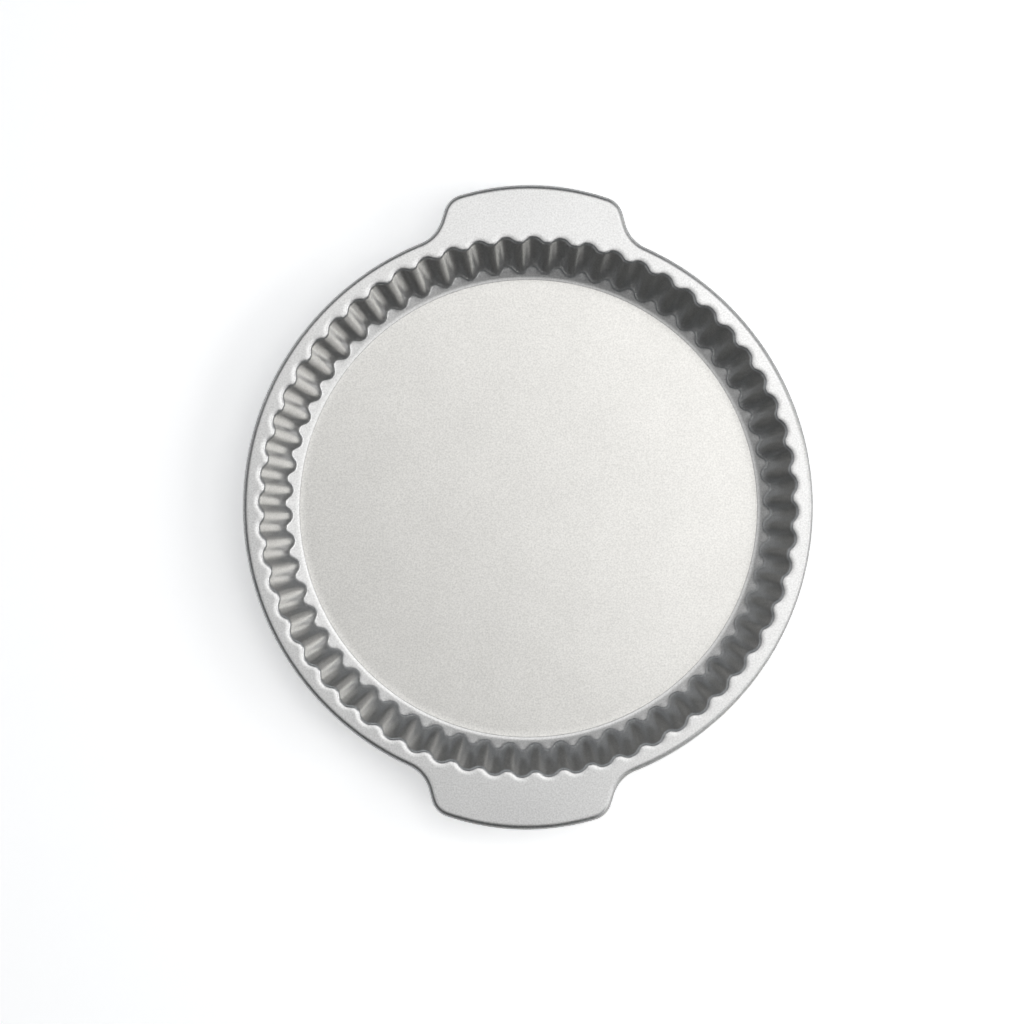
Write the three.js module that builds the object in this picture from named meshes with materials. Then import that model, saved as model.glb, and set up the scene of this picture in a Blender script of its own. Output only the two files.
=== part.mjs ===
import * as THREE from 'three';

// A round fluted tart tin: a pressed ring with two flat handles, and a loose base that lies in its foot.
// Millimetres, +Z up. The origin is on the table under the middle of the tin, and the handles lie along Y.

const degrees = Math.PI / 180;

// Fluted wall
const mouthDiameter = 279; // across opposite outward flutes, where the wall meets the lip bend
const panHeight = 35; // table to the top of the lip
const sheetThickness = 0.8; // coated steel of the ring
const wallLean = 20 * degrees; // from upright, wider at the mouth
const fluteCount = 60;
const fluteDepthAtLip = 2.8; // outward crest to inward crest, in plan
const fluteDepthAtFoot = 3.6;
const lipBendRadius = 3.2; // inside face of the bend from lip to wall
const footBendRadius = 2.5; // inside face of the bend from wall to ledge

// Lip, with its edge rolled under, and the handles drawn out of it
const lipWidth = 9.15; // outward flutes to the outer edge
const curlRadius = 3.2; // outside of the rolled edge
const curlTurn = 225 * degrees; // how far the edge is rolled, down and back under the lip
const handleReach = 19.5; // lip circle to the end of a handle
const handleWidth = 94.3; // across the corners at the end
const handleEndRadius = 127; // crown of the end
const handleCornerRadius = 12.2;
const handleRootRadius = 18.3; // hollow corner between handle and lip
const handleFlare = 16.5 * degrees; // each side opens out towards the lip

// Foot: a sloping ledge, a step down and a flat seat
const ledgeWidth = 1.4; // narrowest, beside the inward flutes
const ledgeSlope = 18 * degrees; // down towards the middle
const stepWidth = 1.35;
const stepHeight = 0.3; // edge of the base to the inner edge of the ledge
const seatWidth = 8;

// Loose base
const baseThickness = 1;
const baseRimWidth = 3.6; // outermost part of the disc, turned up a little
const baseRimRise = 0.15;
const baseEdgeRadius = 0.06; // both edges of the disc are broken
const baseSideClearance = 0.08; // all round, inside the seat
const baseSeatClearance = 0.2; // coat and waviness between the base and its seat

// Fineness of the facets
const facetsPerFlute = 6;
const footFacetsPerFlute = 2;
const bendFacets = 2;
const curlFacets = 5;
const rootFacets = 4;
const cornerFacets = 4;
const endFacets = 3; // from a corner to the middle of a handle's end
const baseEdgeFacets = 2;

const coating = { color: 0xc9c7c2, roughness: 0.42, metalness: 0.75 };

// Levels above the table, from the seat up
const seatTop = sheetThickness;
const baseBottom = seatTop + baseSeatClearance;
const baseTop = baseBottom + baseThickness;
const baseRimTop = baseTop + baseRimRise;
const ledgeInnerLevel = baseRimTop + stepHeight;

// The wall's face turns from tilt 0, facing up, to this tilt, facing the middle of the pan.
const wallTilt = Math.PI / 2 - wallLean;

// A bend keeps clear of the centre of the flutes' own curve, so that its offsets never fold over.
const fluteCurveShare = 0.8;
const topRadius = mouthDiameter / 2 - fluteDepthAtLip / 2;
const tightestFlute = (radius, depth) => 2 / (depth * (fluteCount / radius) ** 2);
const lipBendReach = Math.sin(wallTilt); // in plan, for a radius of 1
const tightestAtLip = tightestFlute(topRadius, fluteDepthAtLip);
const largestLipBend = (fluteCurveShare * tightestAtLip) / lipBendReach;
const lipBend = Math.min(lipBendRadius, largestLipBend);
const footRadiusEstimate = topRadius - panHeight * Math.tan(wallLean);
const footBendReach = Math.sin(wallTilt) - Math.sin(ledgeSlope);
const tightestAtFoot = tightestFlute(footRadiusEstimate, fluteDepthAtFoot);
const largestFootBend = (fluteCurveShare * tightestAtFoot) / footBendReach;
const footBend = Math.min(footBendRadius, largestFootBend);

// Ends of the straight wall, at the lip bend and at the foot bend
const wallTopLevel = panHeight - lipBend * (1 - Math.cos(wallTilt));
const ledgeMeanReach = fluteDepthAtFoot / 2 + ledgeWidth;
const ledgeOuterLevel = ledgeInnerLevel + ledgeMeanReach * Math.tan(ledgeSlope);
const wallFootLevel = ledgeOuterLevel + footBend * (Math.cos(ledgeSlope) - Math.cos(wallTilt));
const footRadius = topRadius - (wallTopLevel - wallFootLevel) * Math.tan(wallLean);

// Radii of the foot, from the flutes inwards
const ledgeOuterRadius = footRadius - footBend * footBendReach;
const ledgeInnerRadius = ledgeOuterRadius - ledgeMeanReach;
const seatRadius = ledgeInnerRadius - stepWidth;
const seatOpeningRadius = seatRadius - seatWidth;
const baseRadius = seatRadius - baseSideClearance;

const lipRadius = mouthDiameter / 2 + lipWidth;
const fluteFacets = fluteCount * facetsPerFlute;
const footFacets = fluteCount * footFacetsPerFlute;

// A run of values from first to last, in equal steps
function steps(first, last, count) {
  return Array.from({ length: count + 1 }, (_, i) => THREE.MathUtils.lerp(first, last, i / count));
}

// One closed ring of points that follows the flutes, moved out by offset square to the fluted line.
// With a slope, points further out lie higher, so that the ring stays on the ledge's cone.
function fluteRing({ radius, depth, offset, level, slope = 0 }) {
  return Array.from({ length: fluteFacets }, (_, i) => {
    const angle = (2 * Math.PI * i) / fluteFacets;
    const distance = radius + (depth / 2) * Math.cos(fluteCount * angle);
    const climb = -(depth / 2) * fluteCount * Math.sin(fluteCount * angle);
    const turn = Math.atan2(climb, distance);
    const outward = new THREE.Vector2(Math.cos(angle - turn), Math.sin(angle - turn));
    const point = new THREE.Vector2(Math.cos(angle), Math.sin(angle)).multiplyScalar(distance);
    point.addScaledVector(outward, offset);
    return new THREE.Vector3(point.x, point.y, level + (distance - radius) * slope);
  });
}

// One closed circle of points
function circleRing(radius, level) {
  return Array.from({ length: footFacets }, (_, i) => {
    const angle = (2 * Math.PI * i) / footFacets;
    return new THREE.Vector3(radius * Math.cos(angle), radius * Math.sin(angle), level);
  });
}

// Tangent arcs that make one quarter of the handle outline: the hollow root, the corner and the crowned end.
// The root's radius is limited by the length of the straight side that it runs into.
function handleArcs() {
  const endCentre = new THREE.Vector2(0, lipRadius + handleReach - handleEndRadius);
  const cornerX = handleWidth / 2 - handleCornerRadius;
  const cornerRise = Math.sqrt((handleEndRadius - handleCornerRadius) ** 2 - cornerX ** 2);
  const cornerCentre = new THREE.Vector2(cornerX, endCentre.y + cornerRise);
  const sideNormal = new THREE.Vector2(Math.cos(handleFlare), Math.sin(handleFlare));
  const sideAlong = new THREE.Vector2(-sideNormal.y, sideNormal.x);
  const sideTop = cornerCentre.clone().addScaledVector(sideNormal, handleCornerRadius);
  const sideOut = sideTop.dot(sideNormal);
  const largestRoot = (sideTop.lengthSq() - lipRadius ** 2) / (2 * (lipRadius - sideOut));
  const rootRadius = Math.min(handleRootRadius, largestRoot);
  const rootAlong = Math.sqrt((lipRadius + rootRadius) ** 2 - (sideOut + rootRadius) ** 2);
  const rootCentre = sideNormal.clone().multiplyScalar(sideOut + rootRadius);
  rootCentre.addScaledVector(sideAlong, rootAlong);
  return {
    endCentre,
    cornerCentre,
    rootCentre,
    rootRadius,
    rootAngle: rootCentre.angle(),
    endAngle: cornerCentre.clone().sub(endCentre).angle(),
  };
}

// The outline of lip and handles, moved in by inset, as one closed ring at a level.
// On the lip circle there is a point at each outward flute.
function lipRing(inset, level) {
  const { endCentre, cornerCentre, rootCentre, rootRadius, rootAngle, endAngle } = handleArcs();
  const arc = (centre, radius, from, to, count) =>
    steps(from, to, count).map(
      (angle) => new THREE.Vector2(centre.x + radius * Math.cos(angle), centre.y + radius * Math.sin(angle)),
    );
  const pitch = (2 * Math.PI) / fluteCount;
  const lipSteps = Math.round(rootAngle / pitch) - 1;
  const quarter = [
    ...arc(new THREE.Vector2(), lipRadius - inset, 0, lipSteps * pitch, lipSteps),
    ...arc(rootCentre, rootRadius + inset, rootAngle + Math.PI, handleFlare + Math.PI, rootFacets),
    ...arc(cornerCentre, handleCornerRadius - inset, handleFlare, endAngle, cornerFacets),
    ...arc(endCentre, handleEndRadius - inset, endAngle, Math.PI / 2, endFacets).slice(1),
  ];
  const mirrored = quarter.slice(1, -1).reverse();
  const half = [...quarter, ...mirrored.map((p) => new THREE.Vector2(-p.x, p.y))];
  const ring = [...half, ...half.map((p) => p.clone().negate())];
  return ring.map((p) => new THREE.Vector3(p.x, p.y, level));
}

// Joins two closed rings by a band of triangles, always across the shorter diagonal.
function band(a, b) {
  const triangles = [];
  let i = 0;
  let j = 0;
  while (i < a.length || j < b.length) {
    const nextA = a[(i + 1) % a.length];
    const nextB = b[(j + 1) % b.length];
    const here = [a[i % a.length], b[j % b.length]];
    const stepA = i < a.length ? nextA.distanceTo(here[1]) : Infinity;
    const stepB = j < b.length ? nextB.distanceTo(here[0]) : Infinity;
    if (stepA <= stepB) {
      triangles.push(here[0], nextA, here[1]);
      i += 1;
    } else {
      triangles.push(here[0], nextB, here[1]);
      j += 1;
    }
  }
  return triangles;
}

// A closed skin over a chain of rings that comes back to its first ring
function skin(rings) {
  const triangles = rings.flatMap((ring, i) => band(ring, rings[(i + 1) % rings.length]));
  const geometry = new THREE.BufferGeometry().setFromPoints(triangles);
  geometry.computeVertexNormals();
  return geometry;
}

// The rolled edge, from its free end to the flat of the lip, at one radius about the roll's own axis
function curlRings(radius) {
  return steps(curlTurn, 0, curlFacets).map((turn) =>
    lipRing(curlRadius - radius * Math.sin(turn), panHeight - curlRadius + radius * Math.cos(turn)),
  );
}

// The fluted wall with its two bends, from lip to ledge. The back lies a sheet thickness behind the face.
function wallRings(behind) {
  const back = (tilt) => ({ out: behind * Math.sin(tilt), down: behind * Math.cos(tilt) });
  const lipBendRings = steps(0, wallTilt, bendFacets).map((tilt) =>
    fluteRing({
      radius: topRadius,
      depth: fluteDepthAtLip,
      offset: lipBend * (Math.sin(wallTilt) - Math.sin(tilt)) + back(tilt).out,
      level: panHeight - lipBend * (1 - Math.cos(tilt)) - back(tilt).down,
    }),
  );
  const footBendRings = steps(wallTilt, ledgeSlope, bendFacets).map((tilt) =>
    fluteRing({
      radius: footRadius,
      depth: fluteDepthAtFoot,
      offset: -footBend * (Math.sin(wallTilt) - Math.sin(tilt)) + back(tilt).out,
      level: wallFootLevel - footBend * (Math.cos(tilt) - Math.cos(wallTilt)) - back(tilt).down,
      slope: Math.tan(ledgeSlope),
    }),
  );
  return [...lipBendRings, ...footBendRings];
}

// The foot from ledge to seat opening. A corner's back lies on the mitre of the two faces that meet there.
function footRings(behind) {
  const stepTilt = Math.atan2(stepHeight, stepWidth);
  const corner = (radius, level, outerTilt, innerTilt) => {
    const mean = (outerTilt + innerTilt) / 2;
    const reach = behind / Math.cos((innerTilt - outerTilt) / 2);
    return circleRing(radius + reach * Math.sin(mean), level - reach * Math.cos(mean));
  };
  return [
    corner(ledgeInnerRadius, ledgeInnerLevel, ledgeSlope, stepTilt),
    corner(seatRadius, baseRimTop, stepTilt, Math.PI / 2),
    corner(seatRadius, seatTop, Math.PI / 2, 0),
    corner(seatOpeningRadius, seatTop, 0, 0),
  ];
}

// All rings of one side of the sheet, from the rolled edge to the seat opening
function sheetSide(behind) {
  return [...curlRings(curlRadius - behind), ...wallRings(behind), ...footRings(behind)];
}

function flutedRing() {
  return skin([...sheetSide(0), ...sheetSide(sheetThickness).reverse()]);
}

// A flat disc whose rim is turned up and whose two edges are rounded
function looseBase() {
  const edge = Math.min(baseEdgeRadius, baseThickness / 2);
  const centre = baseRadius - edge;
  const round = (level, from, to) =>
    steps(from, to, baseEdgeFacets).map(
      (angle) => new THREE.Vector2(centre + edge * Math.cos(angle), level + edge * Math.sin(angle)),
    );
  const flatRadius = baseRadius - baseRimWidth;
  const profile = [
    new THREE.Vector2(0, baseBottom),
    new THREE.Vector2(flatRadius, baseBottom),
    ...round(baseBottom + baseRimRise + edge, -Math.PI / 2, 0),
    ...round(baseRimTop - edge, 0, Math.PI / 2),
    new THREE.Vector2(flatRadius, baseTop),
    new THREE.Vector2(0, baseTop),
  ];
  return new THREE.LatheGeometry(profile, footFacets).rotateX(Math.PI / 2);
}

function piece(name, geometry) {
  const mesh = new THREE.Mesh(geometry, new THREE.MeshStandardMaterial(coating));
  mesh.name = name;
  return mesh;
}

const tartTin = new THREE.Group();
tartTin.add(piece('fluted_ring', flutedRing()));
tartTin.add(piece('loose_base', looseBase()));

export default tartTin;
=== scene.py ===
import math
import bpy
import numpy as np
from mathutils import Matrix, Vector


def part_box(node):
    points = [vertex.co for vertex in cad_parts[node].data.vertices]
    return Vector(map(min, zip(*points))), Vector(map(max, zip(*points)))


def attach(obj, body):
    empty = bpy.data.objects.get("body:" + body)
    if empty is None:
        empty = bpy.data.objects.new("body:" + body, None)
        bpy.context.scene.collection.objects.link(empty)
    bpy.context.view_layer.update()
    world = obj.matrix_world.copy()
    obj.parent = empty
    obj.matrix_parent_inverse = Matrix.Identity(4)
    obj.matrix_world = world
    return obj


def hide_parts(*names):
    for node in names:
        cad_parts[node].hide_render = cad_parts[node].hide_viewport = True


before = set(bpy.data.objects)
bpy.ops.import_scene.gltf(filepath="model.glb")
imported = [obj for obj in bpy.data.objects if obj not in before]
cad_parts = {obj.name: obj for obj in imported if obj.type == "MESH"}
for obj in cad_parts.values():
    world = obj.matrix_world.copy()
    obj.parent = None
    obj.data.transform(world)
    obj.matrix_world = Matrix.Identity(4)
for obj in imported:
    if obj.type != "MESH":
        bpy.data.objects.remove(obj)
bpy.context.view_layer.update()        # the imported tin: fluted_ring and loose_base, in metres
ringLow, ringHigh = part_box("fluted_ring")
baseLow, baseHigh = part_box("loose_base")
print("frame loaded, nodes:", sorted(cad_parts))


# camera: straight above the tin, a little off its middle, as the photograph looks down
cameraSettings = {
    "lens": 94.65,             # mm
    "sensor": 36,              # mm
    "eyeRight": 0.0175,        # eye beside the tin's axis, along the picture's right
    "eyeUp": -0.0373,          # and along the picture's up
    "eyeAboveLip": 1.4,
    "aimRight": -0.00796,      # the point of the lip plane in the middle of the picture
    "aimUp": -0.00296,
    "roll": math.radians(1.2), # the handles' axis leans to the right in the picture
}


def makeCamera(settings):
    right = Vector((math.cos(settings["roll"]), math.sin(settings["roll"]), 0))
    up = Vector((-right.y, right.x, 0))
    lipLevel = Vector((0, 0, ringHigh.z))
    eye = lipLevel + right * settings["eyeRight"] + up * settings["eyeUp"]
    eye.z += settings["eyeAboveLip"]
    aim = lipLevel + right * settings["aimRight"] + up * settings["aimUp"]
    back = (eye - aim).normalized()
    across = up.cross(back).normalized()
    turn = Matrix((across, back.cross(across), back)).transposed()
    data = bpy.data.cameras.new("photoCamera")
    data.lens = settings["lens"]
    data.sensor_width = settings["sensor"]
    camera = bpy.data.objects.new("photoCamera", data)
    camera.matrix_world = Matrix.Translation(eye) @ turn.to_4x4()
    bpy.context.scene.collection.objects.link(camera)
    bpy.context.scene.camera = camera


makeCamera(cameraSettings)
bpy.context.scene.view_settings.view_transform = "Standard"
print("camera placed")


# node helper: makes a node, sets its plain sockets and links the given outputs into it
def addNode(tree, kind, sockets=None, links=None, **properties):
    node = tree.nodes.new(kind)
    for name, value in properties.items():
        setattr(node, name, value)
    for name, value in (sockets or {}).items():
        node.inputs[name].default_value = value
    for name, output in (links or {}).items():
        tree.links.new(output, node.inputs[name])
    return node


# lights: panels hung overhead, three soft boxes on the right, a white sheet on each side;
# back is the way that a lamp's back faces, and a lamp without it looks at the middle of the tin
lightSettings = {
    "overhead": {"place": (0.05, 0.07, 1.5), "back": (0, 0, 1), "size": (1.6, 1.2), "power": 4.5},
    "overheadRight": {"place": (0.5, -0.02, 1.48), "back": (0, 0, 1), "size": (0.7, 1.0), "power": 1.75},
    "overheadBack": {"place": (0.0, 0.5, 1.46), "back": (0, 0, 1), "size": (1.1, 0.5), "power": 1.3},
    "overheadMiddle": {"place": (0.03, 0.03, 1.44), "back": (0, 0, 1), "size": (0.45, 0.45), "power": 0.25},
    "key": {"place": (1.1, -0.08, 1.1), "size": (1.05, 0.45), "power": 3.3},
    "keyBack": {"place": (0.8, 0.75, 1.1), "size": (0.7, 0.5), "power": 0.6},
    "keyFront": {"place": (0.8, -0.75, 1.1), "size": (0.7, 0.5), "power": 1.35},
    "rightSheet": {"place": (2.0, 0, 1.3), "back": (1, 0, 0), "size": (1.6, 0.75), "power": 4.5},
    "leftSheet": {"place": (-1.8, 0.7, 1.25), "back": (-1.8, 0.7, 0), "size": (2.2, 0.9), "power": 1.5},
}

# room: dim above, and pale round the horizon, most at the back and least towards the photographer
roomSettings = {
    "dim": 0.06,
    "pale": 0.34,
    "paleSwing": 0.27,
    "brightSide": (-0.259, 0.966, 0),  # the way to the brightest wall
    "paleUpTo": 0.1,                   # sine of the height at which the pale walls start to fade
    "goneAt": 0.6,
    "tint": (0.95, 1.0, 1.06),
}


def areaLight(name, settings):
    data = bpy.data.lights.new(name, "AREA")
    data.shape = "RECTANGLE"
    data.size, data.size_y = settings["size"]
    data.energy = settings["power"]
    light = bpy.data.objects.new(name, data)
    light.location = settings["place"]
    back = Vector(settings.get("back", settings["place"]))
    light.rotation_mode = "QUATERNION"
    light.rotation_quaternion = back.to_track_quat("Z", "Y")     # it shines along its own -Z
    light.visible_camera = False
    bpy.context.scene.collection.objects.link(light)


# light from a direction d: dim + (pale + swing * d . brightSide) * fade, and fade falls with d's height
def roomLight(settings):
    world = bpy.data.worlds.new("dimRoom")
    world.use_nodes = True
    tree = world.node_tree
    way = addNode(tree, "ShaderNodeTexCoord").outputs["Generated"]
    height = addNode(tree, "ShaderNodeSeparateXYZ", links={0: way}).outputs["Z"]
    side = addNode(tree, "ShaderNodeVectorMath", {1: settings["brightSide"]}, {0: way},
                   operation="DOT_PRODUCT")
    wall = addNode(tree, "ShaderNodeMath", {1: settings["paleSwing"], 2: settings["pale"]},
                   {0: side.outputs["Value"]}, operation="MULTIPLY_ADD")
    fade = addNode(tree, "ShaderNodeMapRange",
                   {"From Min": settings["paleUpTo"], "From Max": settings["goneAt"],
                    "To Min": 1, "To Max": 0}, {"Value": height})
    level = addNode(tree, "ShaderNodeMath", {2: settings["dim"]},
                    {0: wall.outputs[0], 1: fade.outputs["Result"]}, operation="MULTIPLY_ADD")
    background = tree.nodes["Background"]
    background.inputs["Color"].default_value = (*settings["tint"], 1)
    tree.links.new(level.outputs[0], background.inputs["Strength"])
    bpy.context.scene.world = world


for lampName, lamp in lightSettings.items():
    areaLight(lampName + "Light", lamp)
roomLight(roomSettings)
print("lights placed")


def newMaterial(name):
    material = bpy.data.materials.new(name)
    material.use_nodes = True
    tree = material.node_tree
    tree.nodes.clear()
    return material, tree


# coat: silver-grey non-stick coat, metal flakes in a satin film with a fine orange peel
coatSettings = {
    "pale": (0.735, 0.733, 0.725),     # the flakes' bright side
    "dark": (0.532, 0.530, 0.523),     # and their dull side
    "metallic": 1.0,
    "roughLow": 0.28,
    "roughHigh": 0.32,
    "speckleSize": 0.0009,             # metres, one grain of the coat
    "speckleDetail": 3,
    "speckleRough": 0.6,
    "cloudSize": 0.03,                 # slow drift of the film's thickness
    "cloudDetail": 2,
    "cloudDepth": 0.02,
    "noiseSpan": (0.3, 0.7),           # the part of the noise that is spread over the whole range
    "peelHeight": 0.00001,             # height of the orange peel
    "edgeRough": 0.6,                  # the coat is thicker and more matt on the rolled edge
    "edgeRadius": 0.1435,              # outside this radius
    "edgeStart": 0.0349,               # and below this level
    "edgeFull": 0.0345,
}


def coatMaterial(name, settings):
    material, tree = newMaterial(name)
    place = addNode(tree, "ShaderNodeTexCoord").outputs["Object"]
    low, high = settings["noiseSpan"]

    # grain and clouds of the film
    speckle = addNode(tree, "ShaderNodeTexNoise",
                      {"Scale": 1 / settings["speckleSize"], "Detail": settings["speckleDetail"],
                       "Roughness": settings["speckleRough"]}, {"Vector": place})
    clouds = addNode(tree, "ShaderNodeTexNoise",
                     {"Scale": 1 / settings["cloudSize"], "Detail": settings["cloudDetail"]},
                     {"Vector": place})
    flakes = addNode(tree, "ShaderNodeValToRGB", links={"Fac": speckle.outputs["Fac"]})
    dull, bright = flakes.color_ramp.elements
    dull.position = low
    dull.color = (*settings["dark"], 1)
    bright.position = high
    bright.color = (*settings["pale"], 1)
    drift = addNode(tree, "ShaderNodeMapRange",
                    {"From Min": low, "From Max": high, "To Min": 1 - settings["cloudDepth"],
                     "To Max": 1 + settings["cloudDepth"]}, {"Value": clouds.outputs["Fac"]})
    film = addNode(tree, "ShaderNodeVectorMath",
                   links={0: flakes.outputs["Color"], "Scale": drift.outputs["Result"]}, operation="SCALE")
    sheen = addNode(tree, "ShaderNodeMapRange",
                    {"From Min": low, "From Max": high, "To Min": settings["roughLow"],
                     "To Max": settings["roughHigh"]}, {"Value": speckle.outputs["Fac"]})

    # the matt rolled edge, far from the axis and below the lip's face
    level = addNode(tree, "ShaderNodeSeparateXYZ", links={0: place})
    flatPlace = addNode(tree, "ShaderNodeVectorMath", {1: (1, 1, 0)}, {0: place}, operation="MULTIPLY")
    reach = addNode(tree, "ShaderNodeVectorMath", links={0: flatPlace.outputs["Vector"]},
                    operation="LENGTH")
    outside = addNode(tree, "ShaderNodeMath", {1: settings["edgeRadius"]}, {0: reach.outputs["Value"]},
                      operation="GREATER_THAN")
    below = addNode(tree, "ShaderNodeMapRange",
                    {"From Min": settings["edgeStart"], "From Max": settings["edgeFull"]},
                    {"Value": level.outputs["Z"]})
    onEdge = addNode(tree, "ShaderNodeMath", links={0: outside.outputs[0], 1: below.outputs["Result"]},
                     operation="MULTIPLY")
    matt = addNode(tree, "ShaderNodeMix", {"B": settings["edgeRough"]},
                   {"Factor": onEdge.outputs[0], "A": sheen.outputs["Result"]})

    peel = addNode(tree, "ShaderNodeBump", {"Strength": 1.0, "Distance": settings["peelHeight"]},
                   {"Height": speckle.outputs["Fac"]})
    coat = addNode(tree, "ShaderNodeBsdfPrincipled", {"Metallic": settings["metallic"]},
                   {"Base Color": film.outputs["Vector"], "Roughness": matt.outputs["Result"],
                    "Normal": peel.outputs["Normal"]})
    addNode(tree, "ShaderNodeOutputMaterial", links={"Surface": coat.outputs["BSDF"]})
    return material


sharpFrom = math.radians(50)     # sharper edges than this stay crisp


# puts a closed grid of points, rows by columns, into a mesh:
# columns always wrap, rows wrap or end in two poles
def gridPiece(name, points, poles=None):
    rows, columns = points.shape[:2]
    index = np.arange(rows * columns).reshape(rows, columns)
    after = np.roll(index, -1, axis=1)
    top, bottom = slice(0, rows - 1), slice(1, rows)
    quads = np.stack([index[top], after[top], after[bottom], index[bottom]], axis=-1).reshape(-1, 4)
    places = points.reshape(-1, 3)
    faces = quads.tolist()
    if poles is None:
        faces += np.stack([index[-1], after[-1], after[0], index[0]], axis=-1).tolist()
    else:
        first, last = len(places), len(places) + 1
        places = np.concatenate([places, poles])
        faces += np.stack([np.full(columns, first), after[0], index[0]], axis=-1).tolist()
        faces += np.stack([np.full(columns, last), index[-1], after[-1]], axis=-1).tolist()
    mesh = bpy.data.meshes.new(name)
    mesh.from_pydata(places.tolist(), [], faces)
    mesh.shade_smooth()
    mesh.set_sharp_from_angle(angle=sharpFrom)
    piece = bpy.data.objects.new(name, mesh)
    bpy.context.scene.collection.objects.link(piece)
    return piece


# fluted ring: one sheet, from the rolled edge over lip, flutes and ledge to the seat of the base
ringSettings = {
    "sheet": 0.0008,
    "mouthRadius": 0.1395,             # at the outward flutes
    "wallLean": math.radians(20),
    "flutes": 60,
    "depthAtLip": 0.0028,
    "depthAtFoot": 0.0036,
    "fluteFullness": 0.08,             # rounder crests than a plain wave, with steeper flanks
    "lipBend": 0.0032,                 # the CAD's bend, which places the wall
    "shoulderRadius": 0.008,           # the lip turns down slowly at first
    "shoulderTilt": math.radians(15),
    "mouthBend": 0.0022,               # and then more tightly into the wall
    "footBend": 0.0025,
    "curlRadius": 0.0032,
    "curlTurn": math.radians(225),
    "curlFullness": 2.9,               # its upper outer quarter: 2 is round, more is fuller
    "handleWidth": 0.0943,
    "handleEndRadius": 0.127,
    "handleCornerRadius": 0.0122,
    "handleRootRadius": 0.0183,
    "handleFlare": math.radians(16.5),
    "ledgeWidth": 0.0014,
    "ledgeSlope": math.radians(18),
    "stepWidth": 0.00135,
    "stepHeight": 0.0003,
    "ledgeRound": 0.012,               # face radius where the ledge runs out into the step
    "stepRound": 0.00002,
    "seatRound": 0.0003,
    "leastRound": 0.00002,             # no rounding is less, on the back of the sheet too
    "seatWidth": 0.008,
    "columnsPerFlute": 18,
    "faceRows": {"curl": 15, "bend": 9, "ledge": 5, "edge": 3},     # rows on each rounding of the face
    "backRows": {"curl": 7, "bend": 5, "ledge": 3, "edge": 3},      # and of the back
    "wallShares": (0.03, 0.35, 0.65, 0.97),                         # rows of the wall, from mouth to foot
    "flatMargin": 0.0002,              # support rows beside each bend keep the flats flat
}


# outline of lip and handles by polar angle, as points and outward normals:
# lip circle, hollow root arc, flared side line, corner arc and crowned end arc, tangent to each other
def lipOutline(angle, settings):
    lip, tip = ringHigh.x, ringHigh.y
    folded = np.arctan2(np.abs(np.sin(angle)), np.abs(np.cos(angle)))     # one quarter stands for all four
    ray = np.stack([np.cos(folded), np.sin(folded)], axis=-1)
    endR, cornerR = settings["handleEndRadius"], settings["handleCornerRadius"]
    rootR, flare = settings["handleRootRadius"], settings["handleFlare"]
    endC = np.array([0, tip - endR])
    cornerX = settings["handleWidth"] / 2 - cornerR
    cornerC = endC + [cornerX, math.sqrt((endR - cornerR) ** 2 - cornerX ** 2)]
    sideN = np.array([math.cos(flare), math.sin(flare)])
    sideT = np.array([-sideN[1], sideN[0]])
    sideOut = cornerC @ sideN + cornerR
    rootC = sideN * (sideOut + rootR) + sideT * math.sqrt((lip + rootR) ** 2 - (sideOut + rootR) ** 2)

    def polar(p):
        return math.atan2(p[1], p[0])

    def onArc(centre, radius, far):     # where the ray meets an arc: its nearer or farther crossing
        along = ray @ centre
        half = np.sqrt(np.maximum(along ** 2 - centre @ centre + radius ** 2, 0))
        point = ray * (along + half * far)[:, None]
        return point, (point - centre) * (far / radius)

    lipEnd = polar(rootC)
    rootEnd = polar(rootC - sideN * rootR)
    sideEnd = polar(cornerC + sideN * cornerR)
    cornerEnd = polar(cornerC + (cornerC - endC) * cornerR / (endR - cornerR))
    sidePoint = ray * (sideOut / (ray @ sideN))[:, None]
    sideNormal = np.broadcast_to(sideN, ray.shape)
    stretches = [(ray * lip, ray), onArc(rootC, rootR, -1), (sidePoint, sideNormal),
                 onArc(cornerC, cornerR, 1), onArc(endC, endR, 1)]
    which = np.searchsorted([lipEnd, rootEnd, sideEnd, cornerEnd], folded)
    pick = [(which == k)[:, None] for k in range(len(stretches))]
    mirror = np.stack([np.where(np.cos(angle) < 0, -1, 1), np.where(np.sin(angle) < 0, -1, 1)], axis=-1)
    points = np.select(pick, [point for point, normal in stretches]) * mirror
    normals = np.select(pick, [normal for point, normal in stretches]) * mirror
    return points, normals


# rows along the outline: each lies inset along the outline's normals, at its own level
def outlineRows(angle, settings, inset, level):
    point, normal = lipOutline(angle, settings)
    plan = point[None] - np.asarray(inset)[:, None, None] * normal[None]
    height = np.broadcast_to(np.asarray(level)[:, None], plan.shape[:2])
    return np.dstack([plan, height])


# rows along the flutes: r = R + depth / 2 * (cos w - full * cos 3w) / (1 - full), w = flutes * angle,
# moved out by offset square to that line; with a slope, points further out lie higher
def fluteRows(angle, settings, radius, depth, offset, level, slope):
    radius, depth, offset, level, slope = (np.atleast_1d(v)[:, None] for v in
                                           np.broadcast_arrays(radius, depth, offset, level, slope))
    flutes, full = settings["flutes"], settings["fluteFullness"]
    wave = flutes * angle[None]
    half = depth / 2 / (1 - full)
    swing = half * (np.cos(wave) - full * np.cos(3 * wave))
    reach = radius + swing
    turn = np.arctan2(-half * flutes * (np.sin(wave) - 3 * full * np.sin(3 * wave)), reach)
    x = reach * np.cos(angle) + offset * np.cos(angle - turn)
    y = reach * np.sin(angle) + offset * np.sin(angle - turn)
    return np.dstack([x, y, level + swing * slope])


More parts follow.
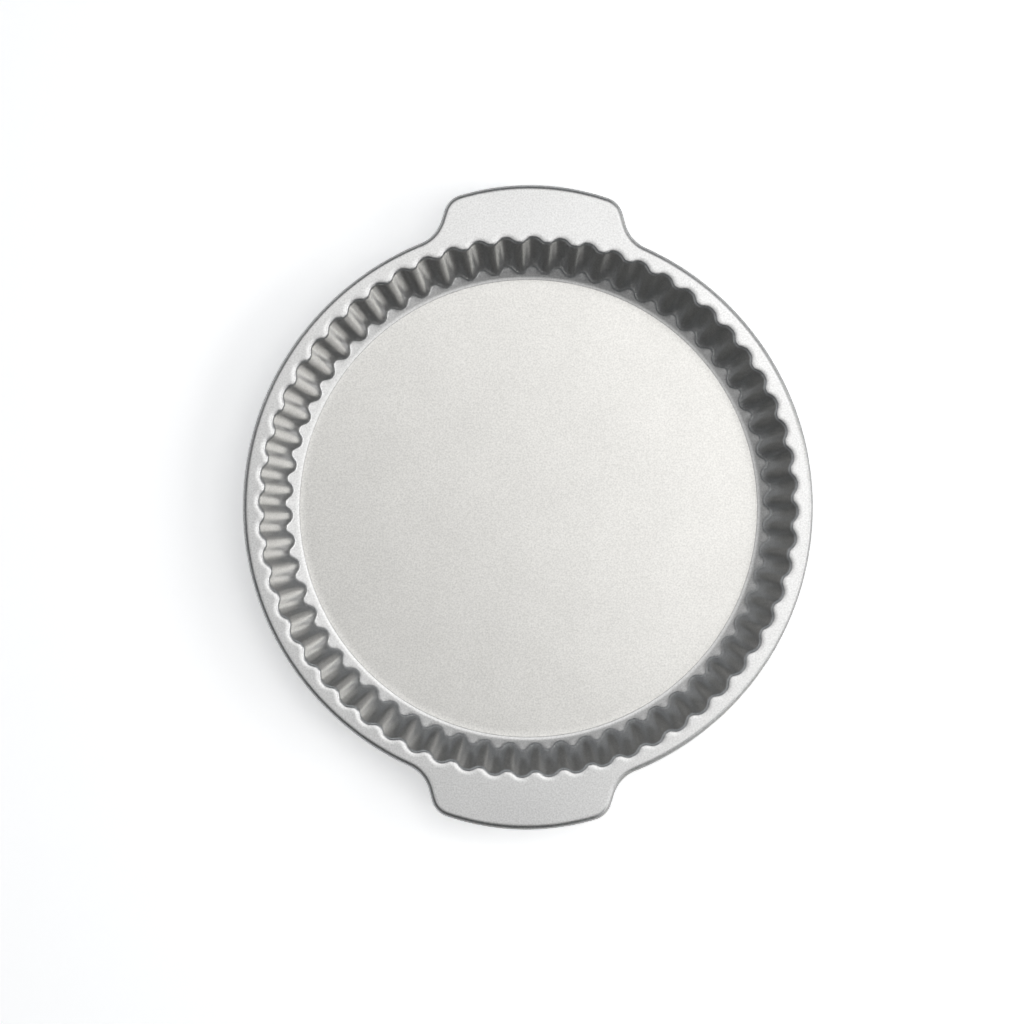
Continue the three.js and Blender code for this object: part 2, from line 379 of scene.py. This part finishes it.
# rounds a corner of the foot's profile: points lie on an arc about the corner's own centre,
# and face along (-sin tilt, cos tilt) while the tilt runs from the outer face's to the inner face's
def roundCorner(settings, corner, tilts, radius, behind, rows):
    outer, inner = tilts
    bulge = 1 if inner > outer else -1                              # the face bulges out, or is hollow
    mean, spread = (outer + inner) / 2, math.cos((inner - outer) / 2)
    radius = max(radius - bulge * behind, settings["leastRound"])   # the back has its own radius
    reach = (behind + bulge * radius) / spread
    tilt = np.linspace(outer, inner, rows)
    r = corner[0] + reach * math.sin(mean) - bulge * radius * np.sin(tilt)
    z = corner[1] - reach * math.cos(mean) + bulge * radius * np.cos(tilt)
    return r, z


# the sheet's profile is carried round the axis: round the outline at its edge, along the flutes at the wall
# and in plain circles at the foot, first on the face and then back along the other side
def flutedRing(settings):
    columns = settings["flutes"] * settings["columnsPerFlute"]
    angle = np.arange(columns) * (2 * math.pi / columns)
    height, sheet, flat = ringHigh.z, settings["sheet"], settings["flatMargin"]
    upright = math.pi / 2
    wallTilt, wallRun = upright - settings["wallLean"], math.tan(settings["wallLean"])
    lipBend, mouthBend, footBend = settings["lipBend"], settings["mouthBend"], settings["footBend"]
    shoulder, shoulderTilt = settings["shoulderRadius"], settings["shoulderTilt"]
    slope = settings["ledgeSlope"]
    fall = math.tan(slope)

    # levels and radii of mouth and foot, from the base upwards and from the wall inwards
    ledgeReach = settings["depthAtFoot"] / 2 + settings["ledgeWidth"]
    ledgeInnerLevel = baseHigh.z + settings["stepHeight"]
    ledgeOuterLevel = ledgeInnerLevel + ledgeReach * fall
    shoulderDrop = (shoulder - mouthBend) * (1 - math.cos(shoulderTilt))
    wallTop = height - shoulderDrop - mouthBend * (1 - math.cos(wallTilt))
    bendTop = height - lipBend * (1 - math.cos(wallTilt))
    topRadius = settings["mouthRadius"] - settings["depthAtLip"] / 2 + (wallTop - bendTop) * wallRun
    wallFoot = ledgeOuterLevel + footBend * (math.cos(slope) - math.cos(wallTilt))
    footRadius = topRadius - (wallTop - wallFoot) * wallRun
    ledgeOuterRadius = footRadius - footBend * (math.sin(wallTilt) - math.sin(slope))
    ledgeInnerRadius = ledgeOuterRadius - ledgeReach
    seatRadius = ledgeInnerRadius - settings["stepWidth"]
    stepTilt = math.atan2(settings["stepHeight"], settings["stepWidth"])
    print("seat radius", round(seatRadius, 6), "ledge to", round(ledgeOuterRadius, 6))

    # one side of the sheet, the face or what lies behind it, from the rolled edge to the seat's opening
    def sheetSide(behind, rows):
        # rolled edge: an arc, whose upper outer quarter swells to |x| ^ n + |z| ^ n = roll ^ n
        turn = np.linspace(settings["curlTurn"], 0, rows["curl"])
        roll = settings["curlRadius"] - behind
        power = np.where(turn < upright, settings["curlFullness"], 2)
        swell = (np.abs(np.sin(turn)) ** power + np.abs(np.cos(turn)) ** power) ** (-1 / power)
        inset = settings["curlRadius"] - roll * swell * np.sin(turn)
        level = height - settings["curlRadius"] + roll * swell * np.cos(turn)
        rim = outlineRows(angle, settings, np.append(inset, inset[-1] + flat), np.append(level, level[-1]))

        # mouth: a slow arc and a tight arc, tangent to each other, from the lip's face into the wall
        gentle = np.linspace(0, shoulderTilt, rows["bend"] // 2)
        tight = np.linspace(shoulderTilt, wallTilt, rows["bend"] - len(gentle) + 1)[1:]
        tilt = np.append(gentle, tight)
        slow, fast = np.minimum(tilt, shoulderTilt), np.maximum(tilt, shoulderTilt)
        out = mouthBend * (math.sin(wallTilt) - np.sin(fast)) + behind * np.sin(tilt)
        out += shoulder * (math.sin(shoulderTilt) - np.sin(slow))
        level = height - shoulder * (1 - np.cos(slow)) - behind * np.cos(tilt)
        level -= mouthBend * (math.cos(shoulderTilt) - np.cos(fast))
        mouth = fluteRows(angle, settings, topRadius, settings["depthAtLip"],
                          np.append(out[0] + flat, out), np.append(level[0], level), 0)

        # foot: one arc from the wall into the ledge, whose end is lifted onto the ledge's cone,
        # and each row before it by the square of its share of the turn
        tilt = np.linspace(wallTilt, slope, rows["bend"])
        out = -footBend * (math.sin(wallTilt) - np.sin(tilt)) + behind * np.sin(tilt)
        level = wallFoot - footBend * (np.cos(tilt) - math.cos(wallTilt)) - behind * np.cos(tilt)
        foot = fluteRows(angle, settings, footRadius, settings["depthAtFoot"],
                         np.append(out, out[-1] - flat), np.append(level, level[-1] - flat * fall), fall)
        reach = np.hypot(foot[-1, :, 0], foot[-1, :, 1])
        cone = ledgeOuterLevel + (reach - ledgeOuterRadius) * fall - behind / math.cos(slope)
        share = np.append((wallTilt - tilt) / (wallTilt - slope), 1) ** 2
        foot[..., 2] += share[:, None] * (cone - foot[-1, :, 2])
        wall = mouth[-1] + (foot[0] - mouth[-1]) * np.array(settings["wallShares"])[:, None, None]

        # ledge, step and seat: circles through three rounded corners
        ledgeR, ledgeZ = roundCorner(settings, (ledgeInnerRadius, ledgeInnerLevel), (slope, stepTilt),
                                     settings["ledgeRound"], behind, rows["ledge"])
        stepR, stepZ = roundCorner(settings, (seatRadius, baseHigh.z), (stepTilt, upright),
                                   settings["stepRound"], behind, rows["edge"])
        seatR, seatZ = roundCorner(settings, (seatRadius, sheet), (upright, 0),
                                   settings["seatRound"], behind, rows["edge"])
        r = np.concatenate([[ledgeR[0] + flat], ledgeR, [stepR[0] + flat / 2], stepR, seatR,
                            [seatR[-1] - flat, seatRadius - settings["seatWidth"]]])
        z = np.concatenate([[ledgeZ[0] + flat * fall], ledgeZ, [stepZ[0] + flat / 2 * math.tan(stepTilt)],
                            stepZ, seatZ, [seatZ[-1]] * 2])
        inner = fluteRows(angle, settings, r, 0, 0, z, 0)
        return np.concatenate([rim, mouth, wall, foot, inner])

    face = sheetSide(0, settings["faceRows"])
    back = sheetSide(sheet, settings["backRows"])
    print("rows", len(face), len(back))
    return gridPiece("flutedRing", np.concatenate([face, back[::-1]]))


# loose base: a flat disc with its rim turned up a little, a profile turned about the tin's axis
baseSettings = {
    "rimWidth": 0.0036,
    "rimRise": 0.00015,
    "rimRows": 8,
    "edgeRound": 0.00002,
    "edgeRows": 4,
    "edgeMargin": 0.0001,              # a support row beside the edge keeps the rim's own slope
    "flatRows": 5,
    "columns": 360,
}


# the upper profile is mirrored to the lower side, and the rim then rises with the square of its share
def looseBase(settings):
    angle = np.arange(settings["columns"]) * (2 * math.pi / settings["columns"])
    radius, edge = baseHigh.x, settings["edgeRound"]
    rimStart, rimEnd = radius - settings["rimWidth"], radius - edge
    flatTop = baseHigh.z - settings["rimRise"]
    flat = np.linspace(0, rimStart, settings["flatRows"] + 1)[1:]
    rim = np.linspace(rimStart, rimEnd - settings["edgeMargin"], settings["rimRows"])[1:]
    turn = np.linspace(math.pi / 2, 0, settings["edgeRows"])
    r = np.concatenate([flat, rim, rimEnd + edge * np.cos(turn)])
    z = np.concatenate([np.full(len(flat) + len(rim), flatTop), flatTop - edge + edge * np.sin(turn)])
    r = np.append(r, r[::-1])
    z = np.append(z, (baseLow.z + flatTop) - z[::-1])
    z += settings["rimRise"] * np.clip((r - rimStart) / settings["rimWidth"], 0, 1) ** 2
    points = np.stack([r[:, None] * np.cos(angle), r[:, None] * np.sin(angle),
                       np.broadcast_to(z[:, None], (len(z), len(angle)))], axis=-1)
    return gridPiece("looseBase", points[::-1], poles=np.array([[0, 0, baseLow.z], [0, 0, flatTop]]))


ring = flutedRing(ringSettings)
ring.data.materials.append(coatMaterial("silverCoatRing", coatSettings))
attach(ring, "ring")
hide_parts("fluted_ring")
print("fluted ring made,", len(ring.data.polygons), "faces")

baseCoat = {"pale": (0.742, 0.731, 0.703), "dark": (0.537, 0.529, 0.508)}     # a little warmer
base = looseBase(baseSettings)
base.data.materials.append(coatMaterial("silverCoatBase", coatSettings | baseCoat))
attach(base, "base")
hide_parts("loose_base")
print("loose base made,", len(base.data.polygons), "faces")


# floor: a wide white sheet just under the tin, white to the eye and still shaded by the tin
floorSettings = {
    "reach": 12,
    "below": 0.0002,
    "colour": (0.8, 0.8, 0.8),
    "seenColour": (1.5, 1.5, 1.5),     # to the eye and in reflections
    "glow": 0.25,
    "glowUpTo": 0.4,                   # from here the sheet turns plain white with the distance
    "whiteFrom": 2.5,
}


def floorMaterial(settings):
    material, tree = newMaterial("whiteFloor")
    path = addNode(tree, "ShaderNodeLightPath").outputs
    seen = addNode(tree, "ShaderNodeMath", links={0: path["Is Camera Ray"], 1: path["Is Glossy Ray"]},
                   operation="MAXIMUM")
    seen = addNode(tree, "ShaderNodeMath", links={0: seen.outputs[0], 1: path["Is Transmission Ray"]},
                   operation="MAXIMUM")
    place = addNode(tree, "ShaderNodeTexCoord").outputs["Object"]
    away = addNode(tree, "ShaderNodeVectorMath", links={0: place}, operation="LENGTH")
    white = addNode(tree, "ShaderNodeMapRange",
                    {"From Min": settings["glowUpTo"], "From Max": settings["whiteFrom"],
                     "To Min": settings["glow"], "To Max": 1}, {"Value": away.outputs["Value"]})
    glow = addNode(tree, "ShaderNodeMath", links={0: seen.outputs[0], 1: white.outputs["Result"]},
                   operation="MULTIPLY")
    colour = addNode(tree, "ShaderNodeMix",
                     {"A": (*settings["colour"], 1), "B": (*settings["seenColour"], 1)},
                     {"Factor": seen.outputs[0]}, data_type="RGBA")
    sheet = addNode(tree, "ShaderNodeBsdfPrincipled",
                    {"Roughness": 1, "Specular IOR Level": 0, "Emission Color": (1, 1, 1, 1)},
                    {"Base Color": colour.outputs["Result"], "Emission Strength": glow.outputs[0]})
    addNode(tree, "ShaderNodeOutputMaterial", links={"Surface": sheet.outputs["BSDF"]})
    return material


def makeFloor(settings):
    side = np.array([[-1, -1], [1, -1], [1, 1], [-1, 1]]) * settings["reach"]
    corners = np.column_stack([side, np.full(4, ringLow.z - settings["below"])])
    mesh = bpy.data.meshes.new("floor")
    mesh.from_pydata(corners.tolist(), [], [(0, 1, 2, 3)])
    mesh.materials.append(floorMaterial(settings))
    floor = bpy.data.objects.new("floor", mesh)
    bpy.context.scene.collection.objects.link(floor)


makeFloor(floorSettings)
print("floor laid")
